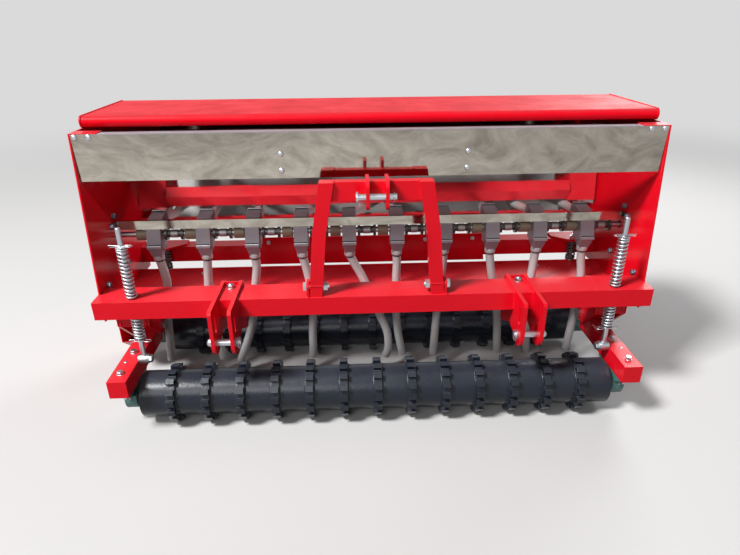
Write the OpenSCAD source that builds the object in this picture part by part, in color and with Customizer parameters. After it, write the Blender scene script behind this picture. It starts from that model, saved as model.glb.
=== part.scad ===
// Mounted seed drill with a front and a rear packer roller, a full-width hopper and ten drop hoses.
// X runs across the machine, Y runs back from the tractor, Z is up. The origin is on the ground.

/* [Frame] */
// Outside width over the two side plates
body_w = 1776; // [1740:4:1820]
// Height of the lid's top above the ground
top_z = 990; // [985:1:1000]
// Side of the square steel tube of beams and arms
tube = 60; // [60:1:60]
// Wall of the square tube
tube_wall = 5; // [4:1:6]
// Height of the beams' underside
beam_z = 390; // [388:1:392]
// Front face of the main beam, as a place on Y
beam_front = -218; // [-219:1:-217]
// Rear beam's front face, behind the main beam's front face
rear_beam_back = 460; // [455:1:465]

/* [Rollers] */
// Front roller's axis, behind the main beam's front face
front_axis_back = 15; // [12:1:18]
// Rear roller's axis, behind the main beam's front face
rear_axis_back = 430; // [428:1:434]
// Radius of a roller's tube
drum_r = 76; // [74:1:78]
// Radius of a cogged ring at the foot of its teeth
root_r = 84; // [82:1:86]
// Radius of a cogged ring at the tips of its teeth
tip_r = 98; // [96:1:99]
// Width of a cogged ring along the roller
ring_w = 26; // [20:1:30]
// Spacing of the cogged rings
ring_pitch = 113; // [110:1:114]
// Number of cogged rings on a roller
ring_count = 13; // [11:2:13]
// Number of teeth on a ring
teeth = 16; // [14:2:18]
// Length of the front roller's tube
front_drum_len = 1548; // [1540:2:1556]
// Length of the rear roller's tube
rear_drum_len = 1608; // [1600:2:1612]
// Radius of a roller's stub shafts
stub_r = 17.5; // [15:0.5:20]

/* [Hopper] */
// Front panel, behind the main beam's front face
panel_back = 102; // [100:1:104]
// Underside of the front panel
panel_z = 807; // [800:1:812]
// Top of the hopper's walls
hopper_top = 948; // [944:1:949]
// Underside of the seed channel
channel_z = 597; // [594:1:600]
// Thickness of the hopper's sheet
sheet = 2; // [1.5:0.5:3]

/* [Seed rows] */
// Number of seed rows
rows = 10; // [10:1:10]
// Spacing of the seed rows
row_pitch = 167; // [164:1:168]
// Outside diameter of a drop hose
hose_d = 30; // [26:1:30]

/* [Hitch] */
// Centre distance of the two lower link brackets
lower_span = 948; // [900:2:990]
// Clear width between the plates of a lower link bracket
lower_gap = 47; // [44:1:50]
// Diameter of a lower link pin
lower_pin_d = 22; // [20:1:24]
// Clear width between the plates of the top link bracket
top_gap = 46; // [44:1:50]
// Diameter of the top link pin
top_pin_d = 19; // [18:1:20]

/* [Hidden] */

$fn = 48;
body_half = body_w / 2;
plate_t = 5;
plate_in = body_half - plate_t;
beam_top = beam_z + tube;
running = 0.05;
red = [0.80, 0.02, 0.06];
zinc = [0.75, 0.77, 0.80];
mirror_steel = [0.82, 0.83, 0.85];
black = [0.05, 0.05, 0.06];
grey = [0.62, 0.63, 0.64];
bronze = [0.45, 0.33, 0.18];
teal = [0.20, 0.42, 0.38];

// Places on Y
front_axis = back(front_axis_back);
rear_axis = back(rear_axis_back);
rear_beam_front = back(rear_beam_back);
panel_y = back(panel_back);
slope_foot = back(256);
rear_foot = back(320);
rear_knee = back(500);
knee_z = 837;
channel_lip = channel_z + 30;
lid_front = back(150);
lid_rear = back(505);
lid_low = 953;
lid_half = body_half - 17;
meter_y = back(288);
meter_z = 569;
meter_r = 10;
cup_half = 24;
collar_y = back(268);

// Arms and their pivots
axis_z = tip_r * cos(90 / teeth);
arm_z = 163;
arm_top = arm_z + tube;
front_arm_in = 790;
rear_arm_in = 820;
front_pivot = back(235);
rear_pivot = back(300);
pivot_z = 241;
pivot_r = 10;
rod_x = 772;
rod_y = back(30);
rod_r = 8;
eye_z = 225;
rear_rod_x = 787;
rear_rod_y = back(440);

// Mast: half widths inside and outside its legs at the foot, the knee and the top
mast_knee_z = 662;
mast_bar_z = 757;
mast_top_z = 815;
mast_foot = [172, 213];
mast_knee = [152, 194];
mast_tip = [124, 168];
mast_bar_front = back(16);
mast_bolt_y = back(26);
mast_bolt_z = beam_top + 28;
mast_bolt_r = 8;

// Lower link pins
lower_pin_y = back(-66);
lower_pin_z = 337;

// Lid hinge
hinge_y = back(514);
hinge_z = 952;
hinge_r = 9;
hinge_pin_r = 5;
hinge_places = [-600, 0, 600];

// Hoses: heights of the route's points, then for each hose its sideways steps at those heights
// and how far its foot stands behind its collar
hose_heights = [482, 445, 392, 318, 244, 169, 100, 60];
hose_steps = [
    [0, 6, 11, 0, -10, -17, -22, -26],
    [0, -4, -9, -15, -13, -4, 2, 4],
    [0, 2, -6, -19, -29, -50, -76, -92],
    [0, 8, 18, 26, 25, 20, 18, 16],
    [0, 18, 45, 75, 103, 133, 139, 128],
    [0, 1, 0, 0, 1, 8, 19, 28],
    [0, 0, -4, -8, -13, -16, -19, -20],
    [0, 5, 15, 32, 47, 56, 62, 65],
    [0, -3, -5, -8, -5, -1, 5, 11],
    [0, 3, 12, 17, 13, 10, 7, 5]];
hose_drift = [10, 10, -6, 8, -8, 6, 0, 10, -4, 10];

// A distance behind the main beam's front face, as a place on Y
function back(d) = beam_front + d;

// Height of the roller shield's underside, which rises a little to the rear
function shield_under(d) = 356 + (d - 290) * 8 / 136;

// Half width inside the mast's legs at a height above the knee
function mast_inside(z) =
    mast_knee[0] + (mast_tip[0] - mast_knee[0]) * (z - mast_knee_z) / (mast_top_z - mast_knee_z);

// Points of an arc on two axes, from one angle to another in steps of 15 degrees
function arc(u, v, r, from, to) =
    let (count = round(abs(to - from) / 15))
    [for (i = [0 : count]) let (a = from + (to - from) * i / count) [u + r * cos(a), v + r * sin(a)]];

// The place of a seed row on X
function row_x(i) = (i - (rows - 1) / 2) * row_pitch;

// Children on both sides of the machine
module both_sides() {
    children();
    mirror([1, 0, 0]) children();
}

// A side profile, as points on Y and Z, from one place on X to another
module across(x0, x1, points) {
    translate([x0, 0, 0])
        rotate([90, 0, 90])
            linear_extrude(x1 - x0)
                polygon(points);
}

// A front profile, as points on X and Z, from one place on Y to another
module along(y0, y1, points) {
    translate([0, y1, 0])
        rotate([90, 0, 0])
            linear_extrude(y1 - y0)
                polygon(points);
}

// A round bar along X
module bar_x(x0, x1, y, z, r) {
    translate([x0, y, z])
        rotate([0, 90, 0])
            cylinder(h = x1 - x0, r = r);
}

// A round bar along Z
module bar_z(x, y, z0, z1, r) {
    translate([x, y, z0])
        cylinder(h = z1 - z0, r = r);
}

// A hexagon head or nut along X
module hex_x(x0, x1, y, z, flats) {
    translate([x0, y, z])
        rotate([0, 90, 0])
            cylinder(h = x1 - x0, d = flats / cos(30), $fn = 6);
}

// A box from its lowest to its highest corner
module block(low, high) {
    translate(low)
        cube(high - low);
}

// Main cross beam: a capped square tube with a hole for each pressure rod
module main_beam() {
    color(red)
        difference() {
            block([-body_half, back(0), beam_z], [body_half, back(tube), beam_top]);
            block([-body_half + tube_wall, back(tube_wall), beam_z + tube_wall],
                  [body_half - tube_wall, back(tube - tube_wall), beam_top - tube_wall]);
            both_sides()
                bar_z(rod_x, rod_y, beam_z - 1, beam_top + 1, rod_r + 1);
        }
}

// Rear cross beam between the side plates: an open square tube
module rear_beam() {
    color(red)
        difference() {
            block([-plate_in, rear_beam_front, beam_z],
                  [plate_in, rear_beam_front + tube, beam_top]);
            block([-plate_in - 1, rear_beam_front + tube_wall, beam_z + tube_wall],
                  [plate_in + 1, rear_beam_front + tube - tube_wall, beam_top - tube_wall]);
        }
}

// Angle welded behind the main beam, which stiffens it and carries the arm brackets
module beam_angle() {
    color(red)
        across(-plate_in, plate_in,
               [[back(60), beam_top - 2], [back(112), beam_top - 2], [back(112), beam_z - 10],
                [back(106), beam_z - 10], [back(106), beam_top - 8], [back(60), beam_top - 8]]);
}

// Angle with its ridge up, in front of the hoses from one arm bracket to the other
module hose_rail() {
    color(red)
        across(-768, 768,
               [[back(172), 384], [back(208), 402], [back(247), 378], [back(247), 373],
                [back(208), 396.5], [back(172), 379]]);
}

// Folded sheet over the rear roller, from one side plate to the other
module roller_shield() {
    color(red)
        across(-plate_in, plate_in,
               [[back(290), shield_under(290)], [back(426), shield_under(426)], [back(426), 345],
                [back(430), 345], [back(430), shield_under(430) + 4],
                [back(290), shield_under(290) + 4]]);
}

// Upright plate on the front of the rear beam, which guards the middle of the roller shield
module rear_centre_plate() {
    color(red)
        along(rear_beam_front - 6, rear_beam_front,
              [[-430, 482], [430, 482], [446, 372], [-446, 372]]);
}

// Side plate: its top tab is folded inwards and a lobe at its foot holds the rear arm's pivot
module side_plate(x0) {
    foot = 352;
    tab_x = x0 < 0 ? x0 + plate_t + 75 : x0 - 75;
    difference() {
        union() {
            across(x0, x0 + plate_t,
                   concat([[back(60), foot], [back(268), foot]],
                          arc(rear_pivot, pivot_z, 26, 195, 345),
                          [[back(335), foot], [back(520), foot], [back(520), 480],
                           [back(505), hopper_top], [back(102), hopper_top],
                           [back(60), beam_top]]));
            block([min(tab_x, x0), panel_y, hopper_top - sheet],
                  [max(tab_x, x0 + plate_t), back(150), hopper_top]);
        }
        bar_x(x0 - 1, x0 + plate_t + 1, meter_y, meter_z, meter_r + 5);
        bar_x(x0 - 1, x0 + plate_t + 1, rear_pivot, pivot_z, pivot_r);
    }
}
module side_plate_left() {
    color(red) side_plate(-body_half);
}
module side_plate_right() {
    color(red) side_plate(plate_in);
}

// Bright front panel of the hopper with its top edge folded back
module hopper_front_panel() {
    color(mirror_steel)
        across(-plate_in, plate_in,
               [[panel_y, panel_z], [panel_y + sheet, panel_z],
                [panel_y + sheet, hopper_top - 2 * sheet], [back(155), hopper_top - 2 * sheet],
                [back(155), hopper_top - sheet], [panel_y, hopper_top - sheet]]);
}

// Sloping front wall, from the front panel down to the seed channel
module hopper_front_slope() {
    color(mirror_steel)
        across(-plate_in, plate_in,
               [[panel_y, panel_z], [panel_y + sheet, panel_z],
                [slope_foot + sheet, channel_lip], [slope_foot, channel_lip]]);
}

// Rear wall: upright at the top, then sloping down to the seed channel
module hopper_rear_wall() {
    color(mirror_steel)
        across(-plate_in, plate_in,
               [[rear_foot, channel_lip], [rear_foot, channel_lip - sheet * 1.3],
                [rear_knee, knee_z - sheet * 1.3], [rear_knee, hopper_top],
                [rear_knee - sheet, hopper_top], [rear_knee - sheet, knee_z]]);
}

// Seed channel: a trough with a slot over each metering cup
module hopper_channel() {
    color(mirror_steel)
        difference() {
            across(-plate_in, plate_in,
                   [[slope_foot, channel_z], [rear_foot, channel_z],
                    [rear_foot, channel_lip - sheet * 1.3],
                    [rear_foot - sheet, channel_lip - sheet * 1.3],
                    [rear_foot - sheet, channel_z + sheet], [slope_foot + sheet, channel_z + sheet],
                    [slope_foot + sheet, channel_lip], [slope_foot, channel_lip]]);
            for (i = [0 : rows - 1])
                block([row_x(i) - 20, meter_y - 15, channel_z - 1],
                      [row_x(i) + 20, meter_y + 15, channel_z + sheet + 1]);
        }
}

// Lid: a pan of folded sheet, open below, with a rolled front edge and a proud plate at each end
module lid_form(x0, x1, inset, rear_y, low) {
    nose_r = (top_z - lid_low) / 2 - inset;
    nose_y = lid_front + nose_r + inset;
    nose_z = (top_z + lid_low) / 2;
    block([x0, nose_y, low], [x1, rear_y, nose_z + nose_r]);
    bar_x(x0, x1, nose_y, nose_z, nose_r);
}
module lid() {
    rim = 2;
    skin_half = lid_half - 5;
    color(red)
        difference() {
            union() {
                lid_form(-skin_half, skin_half, rim, lid_rear, lid_low + rim);
                both_sides()
                    lid_form(skin_half, lid_half, 0, lid_rear, lid_low);
            }
            lid_form(-skin_half, skin_half, rim + sheet, lid_rear - sheet, lid_low - 1);
        }
}

// Three hinge straps on the lid's rear flange, each with one knuckle
module lid_hinge_straps() {
    color(red)
        for (x = hinge_places)
            difference() {
                union() {
                    block([x - 20, lid_rear, hinge_z], [x + 20, lid_rear + 4, hinge_z + 32]);
                    bar_x(x - 20, x + 20, hinge_y, hinge_z, hinge_r);
                }
                bar_x(x - 21, x + 21, hinge_y, hinge_z, hinge_pin_r + running);
            }
}

// Three hinge brackets on the rear wall, each with two knuckles and its pin
module hinge_brackets() {
    color(red)
        for (x = hinge_places)
            union() {
                block([x - 45, rear_knee, hinge_z - 60], [x + 45, rear_knee + 5, hinge_z - 12]);
                for (s = [-1, 1])
                    translate([x + s * 33, 0, 0]) {
                        block([-12, rear_knee, hinge_z - 20], [12, hinge_y, hinge_z - 6]);
                        bar_x(-12, 12, hinge_y, hinge_z, hinge_r);
                    }
                bar_x(x - 40, x + 40, hinge_y, hinge_z, hinge_pin_r);
            }
}

// Metering cups hung under the seed channel, bored for the metering shaft
module metering_cups() {
    color(grey)
        for (i = [0 : rows - 1])
            translate([row_x(i), 0, 0])
                difference() {
                    across(-cup_half, cup_half,
                           [[back(262), channel_z], [back(316), channel_z], [back(316), 551],
                            [back(303), 521], [back(279), 521], [back(262), 551]]);
                    bar_x(-cup_half - 1, cup_half + 1, meter_y, meter_z, meter_r + running);
                }
}

// Grey spouts: a leaning chute in front of each cup, a funnel below it and a round collar
module seed_funnels() {
    color(grey)
        for (i = [0 : rows - 1])
            translate([row_x(i), 0, 0])
                union() {
                    across(-cup_half, cup_half,
                           [[back(256), channel_z], [back(262), channel_z], [back(262), 551],
                            [back(279), 521], [back(285), 511], [back(237), 536]]);
                    across(-cup_half, cup_half,
                           [[back(237), 532], [back(237), 542], [back(233), 540], [back(233), 532]]);
                    intersection() {
                        across(-30, 30, [[back(237), 536], [back(291), 511], [back(281), 490],
                                         [back(255), 490]]);
                        along(back(223), back(303),
                              [[-21, 540], [21, 540], [21, 519], [14, 490], [-14, 490], [-21, 519]]);
                    }
                    bar_z(0, collar_y, hose_heights[0], 498, hose_d / 2 + 3);
                }
}

// Metering shaft through all the cups
module metering_shaft() {
    color(zinc)
        bar_x(-body_half - 30, body_half + 20, meter_y, meter_z, meter_r);
}

// Metering sleeves on the shaft, one on the left of each cup
module metering_sleeves() {
    color(bronze)
        for (i = [0 : rows - 1])
            translate([row_x(i), 0, 0])
                difference() {
                    bar_x(-66, -30, meter_y, meter_z, 21);
                    bar_x(-67, -29, meter_y, meter_z, meter_r + running);
                }
}

// Black spools on the shaft, one on the right of each cup, with a flange at each end
module metering_spools() {
    color(black)
        for (i = [0 : rows - 1])
            translate([row_x(i), 0, 0])
                difference() {
                    union() {
                        bar_x(30, 94, meter_y, meter_z, 13);
                        bar_x(30, 39, meter_y, meter_z, 22);
                        bar_x(85, 94, meter_y, meter_z, 22);
                    }
                    bar_x(29, 95, meter_y, meter_z, meter_r + running);
                }
}

// Two legs of the mast, each with a knee, leaning in towards the top
module mast_legs() {
    color(red)
        both_sides()
            difference() {
                along(back(6), back(46),
                      [[mast_foot[0], beam_top], [mast_foot[1], beam_top], [mast_knee[1], mast_knee_z],
                       [mast_tip[1], mast_top_z], [mast_tip[0], mast_top_z],
                       [mast_knee[0], mast_knee_z]]);
                bar_x(150, 220, mast_bolt_y, mast_bolt_z, mast_bolt_r + running);
            }
}

// Top bar of the mast between the legs, set back from their front faces
module mast_top_bar() {
    low = mast_inside(mast_bar_z);
    color(red)
        along(mast_bar_front, back(46),
              [[-low, mast_bar_z], [low, mast_bar_z],
               [mast_tip[0], mast_top_z], [-mast_tip[0], mast_top_z]]);
}

// Lug plates on the main beam, one on the outer side of each leg's foot
module mast_feet() {
    lug_r = 16;
    color(red)
        both_sides()
            difference() {
                across(mast_foot[1], mast_foot[1] + 8,
                       concat([[back(4), beam_top], [back(56), beam_top]],
                              arc(back(56) - lug_r, beam_top + 46 - lug_r, lug_r, 0, 90),
                              arc(back(4) + lug_r, beam_top + 46 - lug_r, lug_r, 90, 180)));
                bar_x(mast_foot[1] - 1, mast_foot[1] + 9, mast_bolt_y, mast_bolt_z,
                      mast_bolt_r + running);
            }
}

// Bolts through the feet of the mast, each with a head and a nut
module mast_bolts() {
    head = mast_foot[1] + 8;
    nut = 167.5;
    color(zinc)
        both_sides()
            union() {
                bar_x(nut, head, mast_bolt_y, mast_bolt_z, mast_bolt_r);
                hex_x(head, head + 11, mast_bolt_y, mast_bolt_z, 27);
                hex_x(nut - 13, nut, mast_bolt_y, mast_bolt_z, 27);
                bar_x(nut - 18, nut - 13, mast_bolt_y, mast_bolt_z, mast_bolt_r);
            }
}

// Top link bracket: two plates on the mast's top bar with rounded tips, drilled for the pin
module top_link_clevis() {
    tip_y = back(-62);
    low = 750;
    high = 837;
    color(red)
        both_sides()
            difference() {
                across(top_gap / 2, top_gap / 2 + 10,
                       concat([[mast_bar_front, low]],
                              arc(tip_y + 14, low + 14, 14, 270, 180),
                              arc(tip_y + 26, high - 26, 26, 180, 90),
                              [[mast_bar_front, high]]));
                bar_x(top_gap / 2 - 1, top_gap / 2 + 11, back(-40), 785, top_pin_d / 2 + 0.5);
            }
}

// Top link pin with its head and its lynch end
module top_link_pin() {
    reach = top_gap / 2 + 10;
    color(zinc)
        union() {
            bar_x(-reach - 22, reach + 22, back(-40), 785, top_pin_d / 2);
            bar_x(-reach - 28, -reach - 22, back(-40), 785, 16);
        }
}

// Lower link bracket: two plates cut round the beam and its angle, with a round tip for the pin,
// an upright slot behind the front edge and a tie plate between them at the back
module lower_hitch(x) {
    inner = lower_gap / 2;
    tip = 36;
    front = lower_pin_y - tip;
    top = beam_top + 10;
    rear = back(130);
    slot_low = [back(-66), 382];
    slot_high = [back(-64), 422];
    color(red)
        translate([x, 0, 0])
            union() {
                both_sides()
                    difference() {
                        union() {
                            across(inner, inner + 12,
                                   [[front, lower_pin_z], [front, top - 10], [front + 5, top],
                                    [rear - 6, top], [rear, top - 8], [rear, 292], [rear - 8, 284],
                                    [back(24), 332], [lower_pin_y + tip * 0.8, lower_pin_z - tip * 0.6],
                                    [lower_pin_y, lower_pin_z]]);
                            bar_x(inner, inner + 12, lower_pin_y, lower_pin_z, tip);
                        }
                        block([inner - 1, back(0), beam_z], [inner + 13, back(60), beam_top]);
                        block([inner - 1, back(60), beam_z - 10], [inner + 13, back(112), beam_top - 2]);
                        bar_x(inner - 1, inner + 13, lower_pin_y, lower_pin_z, lower_pin_d / 2 + 0.5);
                        across(inner - 1, inner + 13,
                               concat(arc(slot_low[0], slot_low[1], 9, 180, 360),
                                      arc(slot_high[0], slot_high[1], 9, 0, 180)));
                    }
                block([-inner, back(112), beam_z - 10], [inner, back(118), top]);
            }
}
module lower_hitch_left() { lower_hitch(-lower_span / 2); }
module lower_hitch_right() { lower_hitch(lower_span / 2); }

// Lower link pins with a round head on the outer side and a nut on the inner side
module lower_hitch_pins() {
    reach = lower_gap / 2 + 12;
    color(zinc)
        both_sides()
            translate([lower_span / 2, 0, 0])
                union() {
                    bar_x(-reach - 14, reach, lower_pin_y, lower_pin_z, lower_pin_d / 2);
                    hex_x(-reach - 12, -reach, lower_pin_y, lower_pin_z, 30);
                    bar_x(reach, reach + 8, lower_pin_y, lower_pin_z, 15);
                }
}

// One roller arm along Y: a square tube capped at both ends, with its pivot sleeve on top
module roller_arm(x_in, y0, y1, pivot_y) {
    difference() {
        union() {
            block([x_in, y0, arm_z], [x_in + tube, y1, arm_top]);
            bar_x(x_in, x_in + tube, pivot_y, pivot_z, 20);
        }
        block([x_in + tube_wall, y0 + tube_wall, arm_z + tube_wall],
              [x_in + tube - tube_wall, y1 - tube_wall, arm_top - tube_wall]);
        bar_x(x_in - 1, x_in + tube + 1, pivot_y, pivot_z, pivot_r);
    }
}
module front_arms() {
    color(red)
        both_sides() roller_arm(front_arm_in, back(-100), back(262), front_pivot);
}
module rear_arms() {
    color(red)
        both_sides() roller_arm(rear_arm_in, back(278), back(538), rear_pivot);
}

// Arm bracket: two plates for the front arm's pivot, one for the rear arm's, and a front web
module arm_bracket(side) {
    front_plate = [[back(112), beam_z - 10], [back(112), 300], [back(200), 215], [back(252), 215],
                   [back(252), beam_z - 10]];
    color(red)
        mirror([side < 0 ? 1 : 0, 0, 0])
            difference() {
                union() {
                    across(768, 778, front_plate);
                    across(862, 872, front_plate);
                    across(778, 862, [[back(112), beam_z - 10], [back(112), 300], [back(118), 300],
                                      [back(118), beam_z - 10]]);
                    across(768, 872, [[back(112), beam_z - 10], [back(250), beam_z - 10],
                                      [back(250), beam_z - 4], [back(112), beam_z - 4]]);
                    across(804, 814, [[back(280), 215], [back(320), 215],
                                      [back(330), shield_under(330)],
                                      [back(290), shield_under(290)], [back(280), 300]]);
                }
                bar_x(760, 880, front_pivot, pivot_z, pivot_r);
                bar_x(800, 880, rear_pivot, pivot_z, pivot_r);
            }
}
module arm_bracket_left() { arm_bracket(-1); }
module arm_bracket_right() { arm_bracket(1); }

// Pivot bolts of the four arms
module arm_pivots() {
    color(zinc)
        both_sides() {
            union() {
                bar_x(768, 872, front_pivot, pivot_z, pivot_r - running);
                hex_x(756, 768, front_pivot, pivot_z, 30);
                hex_x(872, 882, front_pivot, pivot_z, 30);
            }
            union() {
                bar_x(804, body_half, rear_pivot, pivot_z, pivot_r - running);
                hex_x(792, 804, rear_pivot, pivot_z, 30);
                hex_x(body_half, body_half + 12, rear_pivot, pivot_z, 30);
            }
        }
}

// One hanging pillow block bearing with its foot against an arm's underside
module pillow_block(x, y) {
    translate([x, y, 0])
        difference() {
            union() {
                across(-20, 20,
                       [[-84, arm_z], [84, arm_z], [84, arm_z - 18], [44, axis_z + 22],
                        [-44, axis_z + 22], [-84, arm_z - 18]]);
                bar_x(-20, 20, 0, axis_z, 46);
            }
            bar_x(-21, 21, 0, axis_z, stub_r + running);
        }
}
module front_bearings() {
    color(teal)
        both_sides() pillow_block(front_arm_in + tube / 2, front_axis);
}
module rear_bearings() {
    color(teal)
        both_sides() pillow_block(rear_arm_in + tube / 2, rear_axis);
}

// Pressure rods: an eye bolted to the arm, a rod through the beam and two spring seats
module pressure_rods() {
    color(zinc)
        both_sides()
            union() {
                bar_z(rod_x, rod_y, eye_z, 685, rod_r);
                bar_x(754, front_arm_in, rod_y, eye_z, 17);
                hex_x(744, 754, rod_y, eye_z, 24);
                bar_z(rod_x, rod_y, 299, 303, 20);
                bar_z(rod_x, rod_y, 622, 625, 20);
            }
}

// A round wire coil along Z with closed ends, swept as rings of six points
function coil_rise(t, turns) = t < 1 ? 0 : t > turns - 1 ? 1 : (t - 1) / (turns - 2);
module wire_coil(z0, z1, mean_r, wire, turns) {
    steps = 12;
    sides = 6;
    count = round(turns * steps);
    inner_h = z1 - z0 - 3 * wire;
    rings = [for (i = [0 : count])
        let (t = i / steps, a = 360 * t,
             z = z0 + wire / 2 + wire * (min(t, 1) + max(t - turns + 1, 0))
                 + inner_h * coil_rise(t, turns))
        for (k = [0 : sides - 1])
            let (b = 360 * k / sides, r = mean_r + wire / 2 * cos(b))
            [r * cos(a), r * sin(a), z + wire / 2 * sin(b)]];
    walls = [for (i = [0 : count - 1])
        for (k = [0 : sides - 1])
            let (p = i * sides + k, q = i * sides + (k + 1) % sides)
            [p, q, q + sides, p + sides]];
    first = [for (k = [sides - 1 : -1 : 0]) k];
    last = [for (k = [0 : sides - 1]) count * sides + k];
    polyhedron(rings, concat(walls, [first, last]));
}
module upper_springs() {
    color(zinc)
        both_sides()
            translate([rod_x, rod_y, 0])
                wire_coil(beam_top, 622, 16, 5, 14);
}
module lower_springs() {
    color(zinc)
        both_sides()
            translate([rod_x, rod_y, 0])
                wire_coil(303, beam_z, 16, 5, 8);
}

// Rear spring lugs: pointed plates on the rear beam's top, which reach forward over its front face
module spring_lugs() {
    tip_y = rear_rod_y - 14;
    rear_y = rear_beam_front + 56;
    color(red)
        both_sides()
            difference() {
                translate([0, 0, beam_top])
                    linear_extrude(8)
                        polygon([[rear_rod_x - 14, tip_y], [rear_rod_x + 14, tip_y],
                                 [rear_rod_x + 54, rear_y - 38], [rear_rod_x + 54, rear_y],
                                 [rear_rod_x - 74, rear_y], [rear_rod_x - 74, rear_y - 42]]);
                bar_z(rear_rod_x, rear_rod_y, beam_top - 1, beam_top + 9, 7);
            }
}

// Rear rods: an eye bolted to the rear arm, a rod through the lug and its nut
module rear_rods() {
    lug_top = beam_top + 8;
    color(zinc)
        both_sides()
            union() {
                bar_z(rear_rod_x, rear_rod_y, eye_z, lug_top + 18, 6);
                translate([rear_rod_x, rear_rod_y, lug_top])
                    cylinder(h = 12, d = 24, $fn = 6);
                bar_x(rear_rod_x - 12, rear_arm_in, rear_rod_y, eye_z, 15);
                bar_z(rear_rod_x, rear_rod_y, 371, 374, 18);
            }
}
module rear_springs() {
    color(black)
        both_sides()
            translate([rear_rod_x, rear_rod_y, 0])
                wire_coil(374, beam_top, 16, 5, 7);
}

// Cogged ring: square teeth on a washer, with a gap between teeth at the bottom
module cogged_ring() {
    step = 360 / teeth;
    rotate([0, 90, 0])
        linear_extrude(ring_w, center = true)
            polygon([for (i = [0 : teeth - 1])
                for (p = [[root_r, -step / 4], [tip_r, -step / 4], [tip_r, step / 4],
                          [root_r, step / 4]])
                    let (a = (i + 0.5) * step + p[1])
                    [p[0] * cos(a), p[0] * sin(a)]]);
}

// Roller: a tube with cogged rings welded on it
module roller_drum(y, length) {
    color(black)
        translate([0, y, axis_z])
            difference() {
                union() {
                    bar_x(-length / 2, length / 2, 0, 0, drum_r);
                    for (i = [0 : ring_count - 1])
                        translate([(i - (ring_count - 1) / 2) * ring_pitch, 0, 0])
                            cogged_ring();
                }
                bar_x(-length / 2 - 1, length / 2 + 1, 0, 0, drum_r - 6);
            }
}
module front_drum() { roller_drum(front_axis, front_drum_len); }
module rear_drum() { roller_drum(rear_axis, rear_drum_len); }

// Roller ends: a disc on each end of the tube with its stub shaft
module stub_ends(y, drum_len, reach_left, reach_right) {
    disc_t = 8;
    color(black)
        for (side = [-1, 1])
            mirror([side < 0 ? 1 : 0, 0, 0])
                union() {
                    bar_x(drum_len / 2, drum_len / 2 + disc_t, y, axis_z, drum_r);
                    bar_x(drum_len / 2 + disc_t, side < 0 ? reach_left : reach_right, y, axis_z,
                          stub_r);
                }
}
module front_stubs() {
    stub_ends(front_axis, front_drum_len, front_arm_in + tube - 4, front_arm_in + tube - 4);
}
module rear_stubs() {
    stub_ends(rear_axis, rear_drum_len, body_half + 36, rear_arm_in + tube - 4);
}

// Chain guard outside the left side plate, open at its front lower corner
module chain_guard() {
    x0 = -body_half - 55;
    outline = [[back(232), 612], [back(250), 630], [back(326), 630], [back(344), 610],
               [back(500), 170], [back(500), 70], [back(470), 42], [back(390), 42],
               [back(262), 150], [back(262), 275], [back(232), 500]];
    inside = [[back(235), 611], [back(251), 627], [back(325), 627], [back(341), 609],
              [back(497), 169], [back(497), 71], [back(469), 45], [back(391), 45],
              [back(265), 152], [back(252), 152], [back(252), 272], [back(265), 274],
              [back(235), 501]];
    color(red)
        difference() {
            across(x0, -body_half, outline);
            across(x0 + 3, -body_half - 3, inside);
            bar_x(-body_half - 4, -body_half + 1, rear_axis, axis_z, stub_r + 8);
            bar_x(-body_half - 4, -body_half + 1, meter_y, meter_z, 18);
            bar_x(-body_half - 14, -body_half + 1, rear_pivot, pivot_z, 22);
        }
}

// Seed rate adjuster outside the right side plate: a box with a round knob
module rate_adjuster() {
    color(red)
        union() {
            difference() {
                block([body_half, meter_y - 45, meter_z - 45],
                      [body_half + 36, meter_y + 45, meter_z + 45]);
                bar_x(body_half - 1, body_half + 30, meter_y, meter_z, 18);
            }
            bar_x(body_half + 36, body_half + 55, meter_y, meter_z, 24);
        }
}

// A drop hose: a plain tube swept through its route's points
function hose_route(i) = [for (k = [0 : len(hose_heights) - 1])
    let (fall = (hose_heights[0] - hose_heights[k]) / (hose_heights[0] - hose_heights[7]))
    [row_x(i) + hose_steps[i][k], collar_y + hose_drift[i] * fall * fall, hose_heights[k]]];
module hose(i) {
    sides = 8;
    route = hose_route(i);
    last = len(route) - 1;
    points = [for (k = [0 : last])
        let (way = route[min(k + 1, last)] - route[max(k - 1, 0)],
             dir = k == 0 ? [0, 0, -1] : way / norm(way),
             u = cross(dir, [0, 1, 0]) / norm(cross(dir, [0, 1, 0])),
             v = cross(dir, u))
        for (s = [0 : sides - 1])
            let (a = 360 * (s + 0.5) / sides)
            route[k] + hose_d / 2 * (u * cos(a) + v * sin(a))];
    walls = [for (k = [0 : last - 1])
        for (s = [0 : sides - 1])
            let (p = k * sides + s, q = k * sides + (s + 1) % sides)
            [p, p + sides, q + sides, q]];
    top = [for (s = [0 : sides - 1]) s];
    foot = [for (s = [sides - 1 : -1 : 0]) last * sides + s];
    color(grey)
        polyhedron(points, concat(walls, [top, foot]));
}

main_beam();
rear_beam();
beam_angle();
hose_rail();
roller_shield();
rear_centre_plate();
side_plate_left();
side_plate_right();
hopper_front_panel();
hopper_front_slope();
hopper_rear_wall();
hopper_channel();
lid();
lid_hinge_straps();
hinge_brackets();
metering_cups();
seed_funnels();
metering_shaft();
metering_sleeves();
metering_spools();
mast_legs();
mast_top_bar();
mast_feet();
mast_bolts();
top_link_clevis();
top_link_pin();
lower_hitch_left();
lower_hitch_right();
lower_hitch_pins();
front_arms();
rear_arms();
arm_bracket_left();
arm_bracket_right();
arm_pivots();
front_bearings();
rear_bearings();
pressure_rods();
upper_springs();
lower_springs();
rear_rods();
rear_springs();
spring_lugs();
front_drum();
front_stubs();
rear_drum();
rear_stubs();
chain_guard();
rate_adjuster();
hose(0);  // hose_1
hose(1);  // hose_2
hose(2);  // hose_3
hose(3);  // hose_4
hose(4);  // hose_5
hose(5);  // hose_6
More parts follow.
